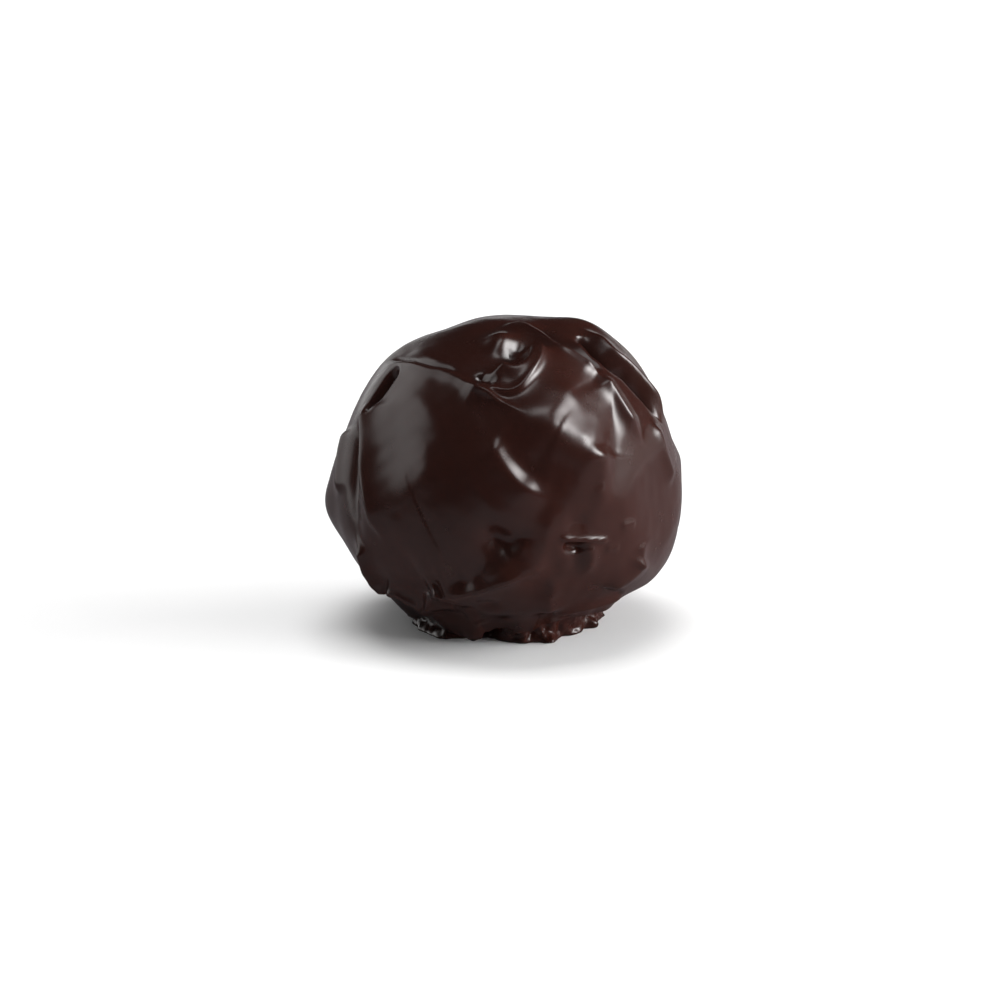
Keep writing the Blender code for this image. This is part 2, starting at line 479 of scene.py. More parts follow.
# Runs that slid down the left side
LEFT_SIDE: tuple[Feature, ...] = (
    # The deep pocket beside the flat panel
    Pit(2.0, 0.60, ((-69.5, 47), (-68.5, 41), (-68, 34)), steep=2.2, rim=0.1),
    # The panel's outer edge, and the groove and the short ridge beyond it
    Ridge(0.80, 1.2, 0.5, crest=0.2, fade=(0.08, 0.25), route=(
        (-70, 37), (-67, 32), (-62, 27), (-58, 22), (-55.5, 17.5), (-53, 13), (-50.5, 9),
        (-48.5, 5), (-46.5, 1), (-44, -3), (-42, -9),
    )),
    Ridge(-0.90, 0.7, 0.6, crest=0.4, fade=(0.25, 0.6), route=(
        (-71, 31), (-68, 24), (-65, 17), (-62, 10), (-59, 3), (-55, -6), (-51, -14),
    )),
    Ridge(0.50, 0.5, 0.5, ((-80, 25), (-77, 18), (-73, 10), (-70, 3)), crest=0.3),
    # Two ragged runs further down
    Ridge(0.95, 0.45, 0.9, crest=0.2, route=(
        (-60, -4), (-55, -10.5), (-54, -13), (-54, -16), (-55, -19.5), (-54.5, -22), (-55, -24.5),
        (-53.5, -26.5), (-53, -29), (-52, -31),
    )),
    Ridge(0.95, 0.5, 0.8, crest=0.2, fade=(0.15, 0.1), route=(
        (-50, -25.5), (-47.5, -26.5), (-43, -27), (-40.5, -28), (-37, -29.5), (-35.5, -31),
        (-36, -34), (-37, -37), (-37, -40),
    )),
    # A low upright fold where the panel meets the front, and a low bump under it
    Ridge(0.15, 0.9, 0.9, crest=0.4, fade=(0.5, 0.5), route=(
        (-31, 32), (-29, 26), (-26.5, 20), (-24.5, 15), (-23, 9),
    )),
    Swell(0.20, 1.1, (-38, 0.5)),
)

# The top: a nub in a dish with a double rim
DISH: tuple[Feature, ...] = (
    Swell(0.9, 1.5, (-3, 71)),
    # The inner rim, steep on the nub's side, and the thin outer rim
    Ridge(1.10, 0.5, 1.8, crest=0.25, fade=(0.2, 0.15), route=(
        (-6, 60), (-2, 58), (1, 56.6), (5, 55.8), (9, 56.4), (13, 58.4), (16.5, 61), (19.5, 64),
        (21.5, 67.5),
    )),
    Ridge(0.35, 0.5, 0.22, fade=(0.15, 0.15), route=(
        (-16, 51.2), (-13, 50.5), (-9, 49.4), (-5, 48.2), (-1, 47.4), (3, 47.4), (7, 48.6),
        (10.5, 50.8), (14, 53.4), (18, 56.3), (22, 59.4), (25.5, 63), (27, 66.5), (26, 70),
    )),
    # A hollow at the rims' left end and one inside the dish
    Pit(0.5, 0.5, ((-13, 53), (-8, 51.5))),
    Pit(0.7, 1.2, ((8, 64), (10, 67))),
    # Low bumps between the dish and the fold
    Swell(0.22, 1.7, (27, 44)),
    Swell(0.07, 0.8, (17, 34)),
    Swell(0.06, 0.6, (28, 29)),
)

# Long laps that run from the top down the right shoulder
RIGHT_LAPS: tuple[Feature, ...] = (
    # The foremost lap and the thin line along it
    Ridge(0.80, 0.45, 1.3, crest=0.25, fade=(0.3, 0.2), route=(
        (10, 87), (25, 85), (34, 81), (40, 77), (41, 72), (40, 67), (43, 62), (47, 58), (49.5, 54),
        (51.5, 50), (52, 46),
    )),
    Ridge(0.25, 0.30, 0.30, crest=0.08, fade=(0.35, 0.2), route=(
        (-10, 84), (10, 84.5), (25, 83), (33, 79), (37, 75), (38, 71), (38, 66.5), (41, 62),
        (45, 58), (48, 54), (50.5, 50), (51.5, 45),
    )),
    # The groove behind it, and a low ridge between groove and crevice
    Ridge(-0.90, 0.9, 0.6, crest=0.3, fade=(0.2, 0.3), route=(
        (72, 84), (62, 77), (55, 71), (52, 65), (53.5, 59), (55.5, 53), (57, 47),
    )),
    Ridge(0.35, 0.5, 0.4, crest=0.2, fade=(0.3, 0.4), route=(
        (72, 68), (65.5, 62.5), (62, 57.5), (61.5, 52), (62.5, 46),
    )),
    # The foremost lap's lower part
    Ridge(0.95, 0.9, 0.8, crest=0.3, fade=(0.2, 0.35), route=(
        (51, 51), (52.3, 46), (52.5, 42), (52.7, 38), (53.5, 33), (55.5, 28), (59, 21),
    )),
    # The deep crevice and the lap behind it
    Ridge(-2.4, 0.32, 0.26, crest=0.10, fade=(0.08, 0.25), route=(
        (80, 66), (73, 61.5), (70, 58.5), (68.5, 56), (69, 52.5), (70.5, 49.5), (72.5, 46.5),
        (73.5, 42.5), (75, 38.5), (76, 34.5), (77.5, 30), (79, 24),
    )),
    Ridge(0.75, 0.8, 0.30, crest=0.3, route=(
        (99, 66), (87, 61.5), (81, 57.5), (78, 53.5), (78.5, 49.5), (80, 45.5), (81, 41.5),
        (82, 36.5), (84, 30.5), (87, 24),
    )),
)

RIGHT_FACE: tuple[Feature, ...] = (
    # A fold near the right edge
    Ridge(0.45, 0.7, 0.6, crest=0.25, route=(
        (68, 30), (69, 25), (69, 21.5), (69.5, 17.5), (71, 14), (73, 10), (75, 6),
    )),
    # The upright edge under the shoulder's corner, and a dent beside its foot
    Ridge(0.60, 1.6, 0.9, crest=0.5, fade=(0.2, 0.4), route=(
        (35, 27), (34, 23), (33.8, 19), (33.5, 15), (32, 11), (30.5, 7), (29, 1),
    )),
    Pit(0.22, 0.8, ((22.5, 3.8), (24.5, 3.6))),
    # A thin lip over a hollow wedge, with the wedge's right edge
    Ridge(0.32, 0.16, 0.20, crest=0.06, lean=-0.1, route=(
        (16, -0.6), (20.5, -1.7), (24, -2.3), (29, -2.8), (33, -3.4), (36, -4),
    )),
    Pit(0.50, 0.45, ((20.5, -4.2), (24.5, -5.2))),
    Pit(0.35, 0.8, ((23.5, -6), (24.5, -10))),
    Ridge(0.40, 0.6, 0.8, crest=0.3, fade=(0.3, 0.4), route=(
        (28, -3), (28.6, -6.5), (28.8, -10), (28, -13), (26, -17),
    )),
    # Short marks and low runs to the right of it
    Ridge(0.15, 0.25, 0.25, ((40, -0.4), (44, -0.2), (47.5, -0.5)), crest=0.1),
    Ridge(0.12, 0.25, 0.25, ((34, -7), (40.5, -7)), crest=0.1),
    Ridge(0.25, 0.5, 0.5, ((51, -8), (52, -13), (50.5, -17)), crest=0.3),
    Ridge(0.70, 1.6, 0.8, ((54, -13), (51.5, -17), (47.5, -20), (44, -22), (42, -25.5)), crest=0.5),
    # A bead just over the hem
    Ridge(0.60, 0.5, 0.4, crest=0.15, route=(
        (18, -37), (26, -35.5), (34, -34), (42, -33), (50, -32), (58, -31),
    )),
)

FRONT: tuple[Feature, ...] = (
    # The curved fold in the middle, with a shallow groove along its upper right
    Swell(-0.10, 0.9, (-1.5, 25.5)),
    Ridge(0.80, 1.25, 2.8, crest=0.35, fade=(0.25, 0.35), route=(
        (-7, 34), (-4.5, 29), (-2.2, 25), (0.5, 21), (3.5, 17.6), (7.5, 14.6), (12, 12.5), (17, 11),
    )),
    Ridge(-0.35, 1.9, 0.8, crest=0.5, fade=(0.3, 0.35), route=(
        (-2, 33), (0.8, 29), (3.6, 25), (7, 21.5), (11, 19), (15, 17.5),
    )),
    # The pit, the broad valley that runs down from it to the left, and the valley's sharp edge
    Pit(0.95, 1.25, ((-2.5, -0.6), (2, -1.6))),
    Ridge(-0.70, 1.0, 2.8, crest=0.5, fade=(0.25, 0.3), route=(
        (4, -1), (0, -4), (-4, -7.5), (-9, -12), (-14, -16), (-20, -19),
    )),
    Ridge(0.25, 0.4, 0.5, crest=0.2, route=(
        (6, 0), (5.6, -3), (3, -6), (-0.7, -8.6), (-4, -11), (-8, -13.8),
    )),
    # The apron's upper edge: a thin line on a broad rise
    Ridge(0.22, 0.3, 0.3, crest=0.08, fade=(0.3, 0.3), route=(
        (10, -11), (4, -12.4), (-1, -14.2), (-5.5, -16), (-10, -18), (-14, -19.7), (-19, -21),
    )),
    Ridge(1.45, 1.6, 2.3, crest=0.15, fade=(0.35, 0.2), route=(
        (16, -8), (11, -9.8), (6, -11.4), (0, -13.2), (-4.5, -15.4), (-9, -17.4), (-13, -19.2),
        (-18, -20.6), (-23, -21.6), (-28, -23.6),
    )),
    # An upright fold beside the pit, and one on the apron
    Ridge(0.35, 0.9, 0.9, crest=0.25, fade=(0.6, 0.2), route=(
        (19, 26), (18, 18), (16, 10), (13.8, 3), (12.2, -3), (11.2, -6.5), (10.5, -9), (9.5, -12),
        (8, -15),
    )),
    Ridge(0.45, 1.0, 0.6, ((16, -13), (16.5, -20), (16, -25), (17, -30), (20, -36)), crest=0.3),
    # The forked ridges at the apron's left end, and the groove over them
    Ridge(0.80, 0.9, 0.45, crest=0.25, fade=(0.1, 0.2), route=(
        (-22, -19.5), (-24, -21.5), (-26.5, -25), (-29.5, -29), (-31, -31), (-31, -36),
    )),
    Ridge(0.30, 0.3, 0.3, ((-28, -22), (-29, -26), (-31, -31)), crest=0.15),
    Ridge(-0.45, 1.6, 0.7, crest=0.4, fade=(0.3, 0.3), route=(
        (-10, -13), (-16, -15.5), (-22, -17.5), (-27, -18.5),
    )),
    # Dents and a short mark over the hem
    Pit(0.50, 0.5, ((-21.8, -25), (-21, -26.5))),
    Pit(0.30, 0.9, ((-8.5, -27), (-5, -26))),
    Pit(0.30, 1.0, ((-15, -31), (-12, -32))),
    Pit(0.30, 1.0, ((-25, -37), (-20, -38))),
    Ridge(0.35, 0.35, 0.35, ((-12.5, -39.5), (-11, -43)), crest=0.15),
)

# The back and the far sides, made by the same fork and sheet
BACK: tuple[Feature, ...] = (
    Ridge(0.5, 0.5, 0.8, ((140, 62), (132, 40), (138, 20), (128, 0))),
    Ridge(0.5, 0.6, 0.4, ((-120, 30), (-128, 10), (-118, -12), (-124, -28))),
    Ridge(0.4, 0.4, 0.8, ((178, 20), (-170, 2), (-178, -18), (168, -30))),
    Ridge(0.45, 1.5, 0.18, ((-150, 50), (-176, 44), (160, 50))),
    Ridge(0.6, 1.0, 2.0, ((97, 18), (102, 5), (109, -8), (106, -22)), crest=0.4, fade=(0.3, 0.3)),
    Ridge(0.4, 1.6, 0.7, ((124, 26), (117, 8), (121, -10), (131, -24)), crest=0.3, fade=(0.3, 0.3)),
    Pit(0.45, 1.2, ((166, 33), (160, 31))),
    Pit(0.45, 0.9, ((-150, -2), (-147, -8))),
)

FEATURES: tuple[Feature, ...] = (
    SWELLS + SHOULDER + LEFT_SIDE + DISH + RIGHT_LAPS + RIGHT_FACE + FRONT + BACK
)


@dataclass(frozen=True)
class DippedChocolate:
    """Tempered dark chocolate, dipped and set without a mould.

    Set in the air, it keeps a satin gloss: mirrored edges are soft, and the near-black brown
    shows between them, a little redder where the coat is thin.

    Args:
        name: Name of the material.
        brown: Colour of the coat in daylight.
        red: Redder brown, where the coat is thin.
        patch: Pitch in mm of the patches of the two browns.
        roughness: Middle roughness of the set surface.
        spread: How far the roughness strays from the middle, either way.
        gloss_patch: Pitch in mm of the duller and the shinier patches.
        grain: Pitch in mm of the faint unevenness that breaks up the gloss. Sugar and cocoa are
            ground far finer than this; it is drawn as coarse as it needs to show.
        grain_depth: Depth of the grain in mm.
        grain_strength: Share of the grain's depth that counts.
        ior: Index of refraction, close to cocoa butter's.
    """

    name: str = "dark_chocolate_dipped"
    brown: str = "23100C"
    red: str = "29110C"
    patch: float = 6.0
    roughness: float = 0.25
    spread: float = 0.03
    gloss_patch: float = 2.5
    grain: float = 0.9
    grain_depth: float = 0.05
    grain_strength: float = 0.05
    ior: float = 1.47

    def material(self) -> bpy.types.Material:
        """Build the shader: two browns in soft patches, uneven gloss and a faint grain.

        Returns:
            The material.
        """
        made = bpy.data.materials.new(self.name)
        made.use_nodes = True
        tree = made.node_tree
        tree.nodes.clear()
        place = add_node(tree, "ShaderNodeTexCoord").outputs["Object"]
        patches, shine, grain = (
            add_node(
                tree,
                "ShaderNodeTexNoise",
                values={"Scale": 1 / (pitch * MM), "Detail": detail, "Roughness": fineness},
                links={"Vector": place},
            ).outputs["Fac"]
            for pitch, detail, fineness in (
                (self.patch, 3.0, 0.5),
                (self.gloss_patch, 4.0, 0.6),
                (self.grain, 5.0, 0.6),
            )
        )
        colour = add_node(
            tree,
            "ShaderNodeMix",
            {"data_type": "RGBA"},
            {6: linear_rgba(self.brown), 7: linear_rgba(self.red)},
            {0: patches},
        )
        # A noise mostly stays within 0.3 to 0.7
        gloss = add_node(
            tree,
            "ShaderNodeMapRange",
            values={
                "From Min": 0.3,
                "From Max": 0.7,
                "To Min": self.roughness - self.spread,
                "To Max": self.roughness + self.spread,
            },
            links={"Value": shine},
        )
        relief = add_node(
            tree,
            "ShaderNodeBump",
            values={"Strength": self.grain_strength, "Distance": self.grain_depth * MM},
            links={"Height": grain},
        )
        shader = add_node(
            tree,
            "ShaderNodeBsdfPrincipled",
            values={"IOR": self.ior},
            links={
                "Base Color": colour.outputs[2],
                "Roughness": gloss.outputs["Result"],
                "Normal": relief.outputs["Normal"],
            },
        )
        add_node(tree, "ShaderNodeOutputMaterial", links={"Surface": shader.outputs["BSDF"]})
        return made


def closed_rings(rings: np.ndarray, name: str) -> bpy.types.Object:
    """Make an object from rings of points, closed at its first and last ring by one point each.

    Quads join each ring to the next and the end of each ring to its start, and triangles run
    from the two end points. Rings go from the top down and anticlockwise seen from above.

    Args:
        rings: Points in mm by ring and place in the ring. The first and the last ring are
            drawn together to their middle.
        name: Name of the object.

    Returns:
        The object, smooth-shaded, linked into the scene.
    """
    count, around = rings.shape[:2]
    first = rings[0].mean(axis=0)
    last = rings[-1].mean(axis=0)
    body = rings[1:-1].reshape(-1, 3)
    points = np.concatenate([first[None, :], body, last[None, :]]) * MM
    here = np.arange(around)
    following = np.roll(here, -1)
    starts = 1 + np.arange(count - 3)[:, None] * around
    quads = np.stack(
        [starts + here, starts + around + here, starts + around + following, starts + following],
        axis=-1,
    ).reshape(-1, 4)
    base = 1 + (count - 3) * around
    top = np.stack([np.zeros(around, int), 1 + here, 1 + following], axis=-1)
    bottom = np.stack([np.full(around, len(points) - 1), base + following, base + here], axis=-1)
    mesh = bpy.data.meshes.new(name)
    corners = np.concatenate([quads.ravel(), top.ravel(), bottom.ravel()])
    sizes = np.concatenate([np.full(len(quads), 4), np.full(2 * around, 3)])
    mesh.vertices.add(len(points))
    mesh.vertices.foreach_set("co", points.ravel())
    mesh.loops.add(len(corners))
    mesh.loops.foreach_set("vertex_index", corners)
    mesh.polygons.add(len(sizes))
    mesh.polygons.foreach_set("loop_start", np.concatenate([[0], np.cumsum(sizes)[:-1]]))
    mesh.polygons.foreach_set("loop_total", sizes)
    mesh.update(calc_edges=True)
    mesh.validate()
    mesh.shade_smooth()
    thing = bpy.data.objects.new(name, mesh)
    bpy.context.scene.collection.objects.link(thing)
    return thing


class Piece(ABC):
    """A closed piece of set chocolate, made from rings of points."""

    name: ClassVar[str]

    @abstractmethod
    def rings(self) -> np.ndarray:
        """Make the points by ring and column, from the top down, in mm over the rest plane."""

    def build(self, finish: DippedChocolate) -> None:
        """Make the mesh, give it its finish and hand it to the frame as the truffle's look.

        Args:
            finish: The finish it gets.
        """
        piece = closed_rings(self.rings(), self.name)
        made = bpy.data.materials.get(finish.name) or finish.material()
        piece.data.materials.append(made)
        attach(piece, "root")
        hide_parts("truffle")
        log.info("%s: %d faces", piece.name, len(piece.data.polygons))


@dataclass(frozen=True)
class Hem:
    """The coat's lower edge: its height and its radius round the foot.

    Args:
        stations: Azimuth in degrees, height and radius in mm.
    """

    stations: tuple[tuple[float, float, float], ...] = (
        (-180, 1.2, 9.0),
        (-150, 0.8, 9.2),
        (-120, 1.4, 8.9),
        (-90, 1.0, 9.0),
        (-70, 1.1, 9.0),
        (-52, 1.5, 8.8),
        (-43, 1.3, 8.9),
        (-32, 0.9, 9.0),
        (-23, 0.65, 9.0),
        (-18, 0.4, 9.0),
        (-14, 0.6, 9.0),
        (-11, 1.25, 8.9),
        (-4, 1.6, 8.8),
        (0, 1.6, 8.8),
        (8, 1.2, 9.0),
        (14, 1.3, 9.0),
        (22, 1.8, 8.9),
        (38, 2.0, 8.9),
        (50, 1.95, 9.3),
        (63, 1.88, 9.8),
        (90, 1.6, 9.4),
        (110, 1.0, 9.1),
        (135, 1.3, 9.0),
        (160, 0.7, 9.2),
    )

    def at(self, azimuth: np.ndarray) -> tuple[np.ndarray, np.ndarray]:
        """Height and radius by azimuth: a smooth step from each station to the next.

        Args:
            azimuth: Azimuths in degrees from -180 to 180.

        Returns:
            Heights and radii in mm.
        """
        table = np.array(self.stations)
        table = np.vstack([table, table[0] + (360, 0, 0)])
        spot = np.clip(np.searchsorted(table[:, 0], azimuth, side="right") - 1, 0, len(table) - 2)
        share = ease((azimuth - table[spot, 0]) / (table[spot + 1, 0] - table[spot, 0]))
        mixed = table[spot] + (table[spot + 1] - table[spot]) * share[:, None]
        return mixed[:, 1], mixed[:, 2]


@dataclass
class Coat(Piece):
    """The chocolate coat, from the top of the ball to the hem and in under it.

    Args:
        half_width: The ball's radius in mm, seen from above.
        rise: Height of the top over the ball's centre in mm.
        drop: How far the round underside would reach below the centre in mm.
        centre_height: Height of the ball's centre over the rest plane in mm.
        around: Points round each ring.
        down: Rings from the top to the hem.
        front_share: How much closer than the average the points stand at the front.
        unevenness: What the hand and the running chocolate leave all over, in three sizes.
        hem: The coat's lower edge.
        hem_from: Elevation under which the surface eases from the ball to the hem.
        calm_from: Share of that way after which the features fade out.
        hem_thickness: Thickness of the coat's edge in mm.
        roll_in: How far the edge rolls inwards, as a share of the thickness.
        roll_down: How far it bulges down, as a share of half the thickness.
        roll_lift: How far its inner end is lifted, as a share of half the thickness.
    """

    name: ClassVar[str] = "coat"

    half_width: float = 15.0
    rise: float = 14.8
    drop: float = 12.0
    centre_height: float = 11.3
    around: int = 450
    down: int = 210
    front_share: float = 0.42
    unevenness: tuple[Ripple, ...] = (
        Ripple(0.07, 9.0, 3),
        Ripple(0.030, 4.0, 5),
        Ripple(0.009, 1.6, 8),
    )
    hem: Hem = Hem()
    hem_from: float = -31.0
    calm_from: float = 0.6
    hem_thickness: float = 0.7
    roll_in: float = 0.9
    roll_down: float = 0.5
    roll_lift: float = 0.3

    def azimuths(self) -> np.ndarray:
        """Azimuths of the columns in degrees, closest together at the front.

        The turn is u minus a sine of u, so that the spacing is least at the front.

        Returns:
            Azimuths from -180 up.
        """
        count = self.around // 1
        turn = np.linspace(-math.pi, math.pi, count, endpoint=False)
        return np.degrees(turn - self.front_share * np.sin(turn))

    def smooth_reach(self, rays: np.ndarray) -> np.ndarray:
        """Distance of the plain ball's surface from its centre: two half ellipsoids.

        Args:
            rays: Unit vectors, one in a row.

        Returns:
            Distances in mm.
        """
        height = np.where(rays[:, 2] < 0, self.drop, self.rise)
        across = np.hypot(rays[:, 0], rays[:, 1])
        return 1 / np.sqrt((across / self.half_width) ** 2 + (rays[:, 2] / height) ** 2)

    def shaped(self, rays: np.ndarray, quiet: np.ndarray) -> np.ndarray:
        """Points of the coat along the rays, with every feature on it.

        The flats cut the ball first. Then the heights of all features and the unevenness are
        added along the rays, and the ridges' shifts sideways.

        Args:
            rays: Unit vectors, one in a row.
            quiet: Factor from 0 to 1 that fades the features towards the hem.

        Returns:
            Points in mm from the ball's centre.
        """
        reach = self.smooth_reach(rays)
        for flat in FLATS:
            reach = flat.shave(rays, reach, self.half_width)
        shift = np.zeros_like(rays)
        height = np.zeros(len(rays))
        for feature in FEATURES:
            relief = feature.relief(rays, self.half_width)
            height[relief.rays] += relief.height
            if relief.shift is not None:
                shift[relief.rays] += relief.shift
        for ripple in self.unevenness:
            height += ripple.at(rays * self.half_width)
        return rays * (reach + height * quiet)[:, None] + shift * quiet[:, None]

    def rolled_edge(self, edge: np.ndarray, outward: np.ndarray) -> np.ndarray:
        """Rings that roll the coat's edge under and then run in to the middle.

        Half a turn of a flattened circle leads down and in, and what is left of the way to the
        axis is taken in four steps.

        Args:
            edge: The coat's last ring, in mm.
            outward: Level unit vectors that point away from the axis, one for each column.

        Returns:
            An array of rings.
        """
        half = self.hem_thickness / 2
        up = np.array((0.0, 0.0, 1.0))
        # Shares of the half turn
        step = np.linspace(0.15, 1.0, 6)[:, None, None]
        bow = math.pi * step
        roll = (
            edge
            - outward * half * (1 - np.cos(bow)) * self.roll_in
            - up * half * np.sin(bow) * self.roll_down
            + up * half * self.roll_lift * step
        )
        left_over = [(1 - share, 1 - share, 1.0) for share in (0.25, 0.6, 0.9, 1.0)]
        return np.concatenate([roll, roll[-1] * np.array(left_over)[:, None, :]])

    def rings(self) -> np.ndarray:
        """Points of the coat by ring and column, in mm over the rest plane.

        Elevation runs from the top to the hem's in equal steps. Over the last part above the
        hem the distance from the centre eases from the ball's to the hem's own. The rolled
        edge follows below it.

        Returns:
            An array of rings.
        """
        azimuth = self.azimuths()
        down = self.down // 1
        height, radius = self.hem.at(azimuth)
        fall = height - self.centre_height
        end, end_reach = np.degrees(np.arctan2(fall, radius)), np.hypot(fall, radius)
        share = np.linspace(0.0, 1.0, down)[:, None]
        elevation = 90 + share * (end - 90)
        turn, lift = np.radians(np.broadcast_to(azimuth, elevation.shape)), np.radians(elevation)
        rays = np.stack(
            [np.sin(turn) * np.cos(lift), -np.cos(turn) * np.cos(lift), np.sin(lift)], axis=-1
        )
        near_hem = ease((elevation - self.hem_from) / (end - self.hem_from))
        near_hem = near_hem * (elevation < self.hem_from)
        quiet = 1 - ease((near_hem - self.calm_from) / (1 - self.calm_from))
        points = self.shaped(rays.reshape(-1, 3), quiet.ravel()).reshape(rays.shape)
        reach = np.linalg.norm(points, axis=-1)
        points *= ((reach + (end_reach - reach) * near_hem) / reach)[..., None]
        outward = np.stack([np.sin(turn[0]), -np.cos(turn[0]), np.zeros_like(turn[0])], axis=-1)
        rings = np.concatenate([points, self.rolled_edge(points[-1], outward)])
        rings[..., 2] += self.centre_height
        return rings


@dataclass
class Foot(Piece):
    """The ragged foot under the hem, where chocolate pooled and set on the sheet.

    Args:
        stations: Azimuth in degrees and radius in mm, once round.
        height: Height of its hidden top in mm.
        undercut: How much narrower it is under the hem than at the bottom, in mm.
        waist: Half waves of the undercut's sine over the height. Only the first counts.
        tuck: How far the bottom edge is drawn in, in mm.
        tuck_height: Height in mm over which that falls to e^-1.
        raggedness: Height of its lumps in mm.
        lumps: Sizes of lumps, with their heights as shares of the raggedness.
        around: Points round each ring.
        up: Rings on its wall.
    """

    name: ClassVar[str] = "foot"

    stations: tuple[Place, ...] = (
        (-180, 8.4),
        (-140, 8.2),
        (-93, 8.2),
        (-65, 8.5),
        (-48, 8.8),
        (-36, 8.7),
        (-22, 7.6),
        (-8, 7.4),
        (2, 8.1),
        (12, 8.9),
        (22, 9.2),
        (31, 9.0),
        (38, 8.3),
        (44, 8.5),
        (60, 8.2),
        (78, 8.4),
        (103, 9.3),
        (130, 8.6),
    )
    height: float = 2.4
    undercut: float = 0.5
    waist: float = 1.1
    tuck: float = 0.35
    tuck_height: float = 0.12
    raggedness: float = 0.30
    lumps: tuple[Ripple, ...] = (
        Ripple(1.0, 3.2, 21),
        Ripple(0.6, 1.5, 22),
        Ripple(0.15, 0.7, 23),
    )
    around: int = 500
    up: int = 44

    def rings(self) -> np.ndarray:
        """Points of the foot by ring, from its hidden top to its flat bottom.

        The wall's radius follows the stations, less a sine of the height for the waist and an
        exponential of it for the tucked edge, and is pushed in and out by the lumps. A few
        shrunken copies of its first and last ring close it.

        Returns:
            An array of rings in mm.
        """
        turn = np.linspace(-math.pi, math.pi, self.around, endpoint=False)
        up = np.linspace(1.0, 0.0, self.up)[:, None]
        height = self.height * up
        table = np.array(self.stations)
        mean = np.interp(np.degrees(turn), table[:, 0], table[:, 1], period=360)
        radius = mean - self.undercut * np.sin(math.pi * np.clip(up * self.waist, 0, 1))
        radius = radius - self.tuck * np.exp(-height / self.tuck_height)
        outward = np.stack([np.sin(turn), -np.cos(turn)], axis=-1)
        wall = np.empty((*radius.shape, 3))
        wall[..., :2] = radius[..., None] * outward
        wall[..., 2] = height
        rough = np.zeros(radius.size)
        for lump in self.lumps:
            rough += lump.at(wall.reshape(-1, 3))
        grown = radius + self.raggedness * rough.reshape(radius.shape)
        wall[..., :2] = grown[..., None] * outward
        top = wall[0] * np.array([(share, share, 1.0) for share in (0.0, 0.3, 0.8)])[:, None, :]
        bottom = wall[-1] * np.array([(share, share, 0.0) for share in (0.6, 0.2, 0.0)])[:, None, :]
        return np.concatenate([top, wall, bottom])


class Role(Enum):
    """Where a light shows."""

    MIRRORED = "only as a mirror image in glossy surfaces"
    SOFT = "only as soft light on matt surfaces"


class Face(Enum):
    """Outline of a light's face, by Blender's name for it."""

    BOX = "RECTANGLE"
    ROUND = "ELLIPSE"


@dataclass(frozen=True)
class SoftLight:
    """A soft light that looks at the truffle.

    Args:
        name: Name of the light.
        place: Azimuth and elevation it stands at.
        distance: Distance from the truffle in m.
        size: Width and height in m.
        radiance: Brightness of its face.
        role: Where it shows.
        face: Outline of its face.
    """

    name: str
    place: Place
    distance: float
    size: tuple[float, float]
    radiance: float
    role: Role
    face: Face = Face.BOX

    def build(self, target: Vector) -> None:
        """Make the light and turn it to the target.

        A one-sided face of radiance L and area A gives pi L A watts, and an ellipse fills
        pi / 4 of its width times its height.

        Args:
            target: Point that the light looks at, in m.
        """
        lamp = bpy.data.lights.new(self.name, "AREA")
        lamp.shape = self.face.value
        lamp.size, lamp.size_y = self.size
        filled = 1.0 if self.face is Face.BOX else math.pi / 4
        lamp.energy = math.pi * self.radiance * self.size[0] * self.size[1] * filled
        thing = bpy.data.objects.new(self.name, lamp)
        thing.location = target + Vector(direction(self.place)) * self.distance
        thing.rotation_euler = (target - thing.location).to_track_quat("-Z", "Y").to_euler()
        thing.visible_glossy = self.role is Role.MIRRORED
        thing.visible_diffuse = self.role is Role.SOFT
        bpy.context.scene.collection.objects.link(thing)


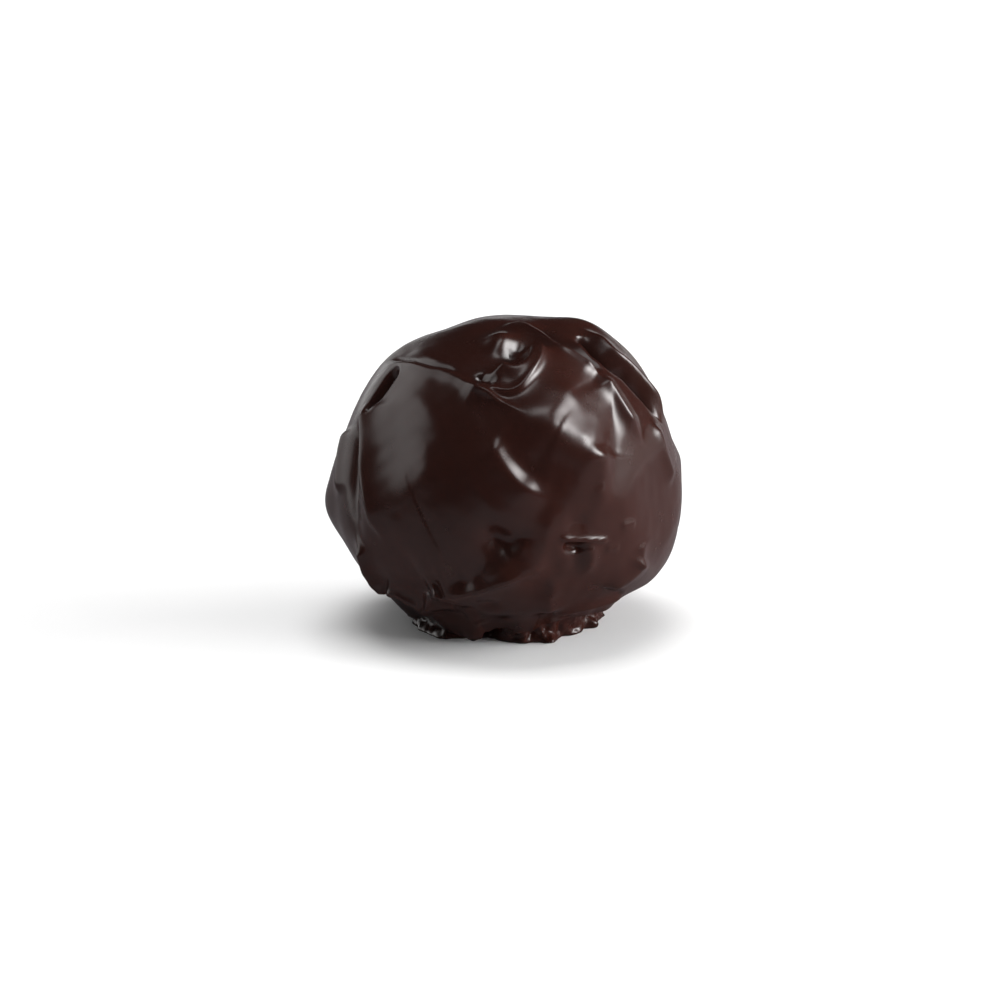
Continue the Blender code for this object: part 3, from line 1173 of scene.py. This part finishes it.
@dataclass
class Studio:
    """Plain pale floor, soft lights, a white surround and the camera.

    Args:
        view: Azimuth and elevation of the camera.
        distance: Distance of the camera from the ball's centre in m.
        lens: Focal length in mm.
        sensor: Width of the sensor in mm.
        shift: Shift of the lens. The ball stands a little right of and above the middle.
        floor_size: Width of the floor in m.
        floor: Colour of the floor.
        floor_mirrored: Its colour as a mirror image in the chocolate.
        surround: Strength of the white surround, as the camera sees it.
        surround_soft: Its strength as soft light.
        surround_mirrored: Its strength as a mirror image in the chocolate.
        lights: The soft lights.
    """

    view: Place = (0.0, 15.0)
    distance: float = 0.35
    lens: float = 146.2
    sensor: float = 36.0
    shift: tuple[float, float] = (-0.005, -0.01)
    floor_size: float = 3.0
    floor: str = "E8E8E8"
    floor_mirrored: str = "7A7577"
    surround: float = 1.0
    surround_soft: float = 0.42
    surround_mirrored: float = 0.02
    lights: tuple[SoftLight, ...] = (
        # Broad dim faces for the sheen of the flat panels, with a low strip behind for the outline
        SoftLight("left_box", (-107, 21), 0.5, (0.49, 0.40), 1.4, Role.MIRRORED),
        SoftLight("left_wing", (-146, 8), 0.5, (0.32, 0.2), 0.5, Role.MIRRORED),
        SoftLight("back_strip", (180, 4), 0.6, (1.1, 0.07), 0.9, Role.MIRRORED),
        SoftLight("right_box", (98, 11), 0.5, (0.4, 0.36), 0.6, Role.MIRRORED),
        # The key, with a dimmer halo round it, and a face over the top, for the highlights
        SoftLight("right_key", (77, 35), 0.5, (0.20, 0.20), 13.0, Role.MIRRORED, Face.ROUND),
        SoftLight("key_halo", (77, 35), 0.51, (0.36, 0.36), 6.0, Role.MIRRORED, Face.ROUND),
        SoftLight("top_box", (20, 75), 0.5, (0.30, 0.13), 3.6, Role.MIRRORED, Face.ROUND),
        # Soft light from the right, and from overhead for the shadow on the floor
        SoftLight("right_fill", (90, 10), 0.5, (0.6, 0.25), 18.0, Role.SOFT),
        SoftLight("overhead", (-160, 76), 1.2, (0.8, 0.8), 6.0, Role.SOFT),
    )

    def build(self, centre: Vector) -> None:
        """Set up the floor, the surround, the lights and the camera.

        Args:
            centre: The ball's centre in m.
        """
        self.build_floor()
        self.build_surround()
        for light in self.lights:
            light.build(centre)
        self.build_camera(centre)

    def build_floor(self) -> None:
        """A wide pale floor, darker as a mirror image."""
        half = self.floor_size / 2
        mesh = bpy.data.meshes.new("floor")
        mesh.from_pydata(
            [(-half, -half, 0), (half, -half, 0), (half, half, 0), (-half, half, 0)],
            [],
            [(0, 1, 2, 3)],
        )
        floor = bpy.data.objects.new("floor", mesh)
        bpy.context.scene.collection.objects.link(floor)
        paint = bpy.data.materials.new("white_card")
        paint.use_nodes = True
        tree = paint.node_tree
        tree.nodes.clear()
        path = add_node(tree, "ShaderNodeLightPath")
        seen, mirrored = (
            add_node(tree, "ShaderNodeBsdfDiffuse", values={"Color": linear_rgba(colour)})
            for colour in (self.floor, self.floor_mirrored)
        )
        mix = add_node(
            tree,
            "ShaderNodeMixShader",
            links={0: path.outputs["Is Glossy Ray"], 1: seen.outputs[0], 2: mirrored.outputs[0]},
        )
        add_node(tree, "ShaderNodeOutputMaterial", links={"Surface": mix.outputs[0]})
        mesh.materials.append(paint)

    def build_surround(self) -> None:
        """A surround that is white behind the scene and dim as a source of light."""
        world = bpy.data.worlds.new("surround")
        world.use_nodes = True
        tree = world.node_tree
        tree.nodes.clear()
        path = add_node(tree, "ShaderNodeLightPath")
        seen, soft, mirrored = (
            add_node(
                tree,
                "ShaderNodeBackground",
                values={"Color": linear_rgba("FFFFFF"), "Strength": strength},
            )
            for strength in (self.surround, self.surround_soft, self.surround_mirrored)
        )
        lit = add_node(
            tree,
            "ShaderNodeMixShader",
            links={0: path.outputs["Is Glossy Ray"], 1: soft.outputs[0], 2: mirrored.outputs[0]},
        )
        mix = add_node(
            tree,
            "ShaderNodeMixShader",
            links={0: path.outputs["Is Camera Ray"], 1: lit.outputs[0], 2: seen.outputs[0]},
        )
        add_node(tree, "ShaderNodeOutputWorld", links={"Surface": mix.outputs[0]})
        bpy.context.scene.world = world
        bpy.context.scene.view_settings.view_transform = "Standard"

    def build_camera(self, centre: Vector) -> None:
        """A long lens that looks down a little on the truffle.

        Args:
            centre: The ball's centre in m.
        """
        lens = bpy.data.cameras.new("camera")
        lens.lens = self.lens
        lens.sensor_width = self.sensor
        lens.clip_start, lens.clip_end = 0.01, 20.0
        lens.shift_x, lens.shift_y = self.shift
        camera = bpy.data.objects.new("camera", lens)
        camera.location = centre + Vector(direction(self.view)) * self.distance
        camera.rotation_euler = (centre - camera.location).to_track_quat("-Z", "Y").to_euler()
        bpy.context.scene.collection.objects.link(camera)
        bpy.context.scene.camera = camera


def main() -> None:
    """Build the truffle and the studio."""
    logging.basicConfig(level=logging.INFO, format="%(name)s %(message)s")
    coat, finish = Coat(), DippedChocolate()
    for piece in (coat, Foot()):
        piece.build(finish)
    Studio().build(Vector((0, 0, coat.centre_height * MM)))


if __name__ == "__main__":
    main()
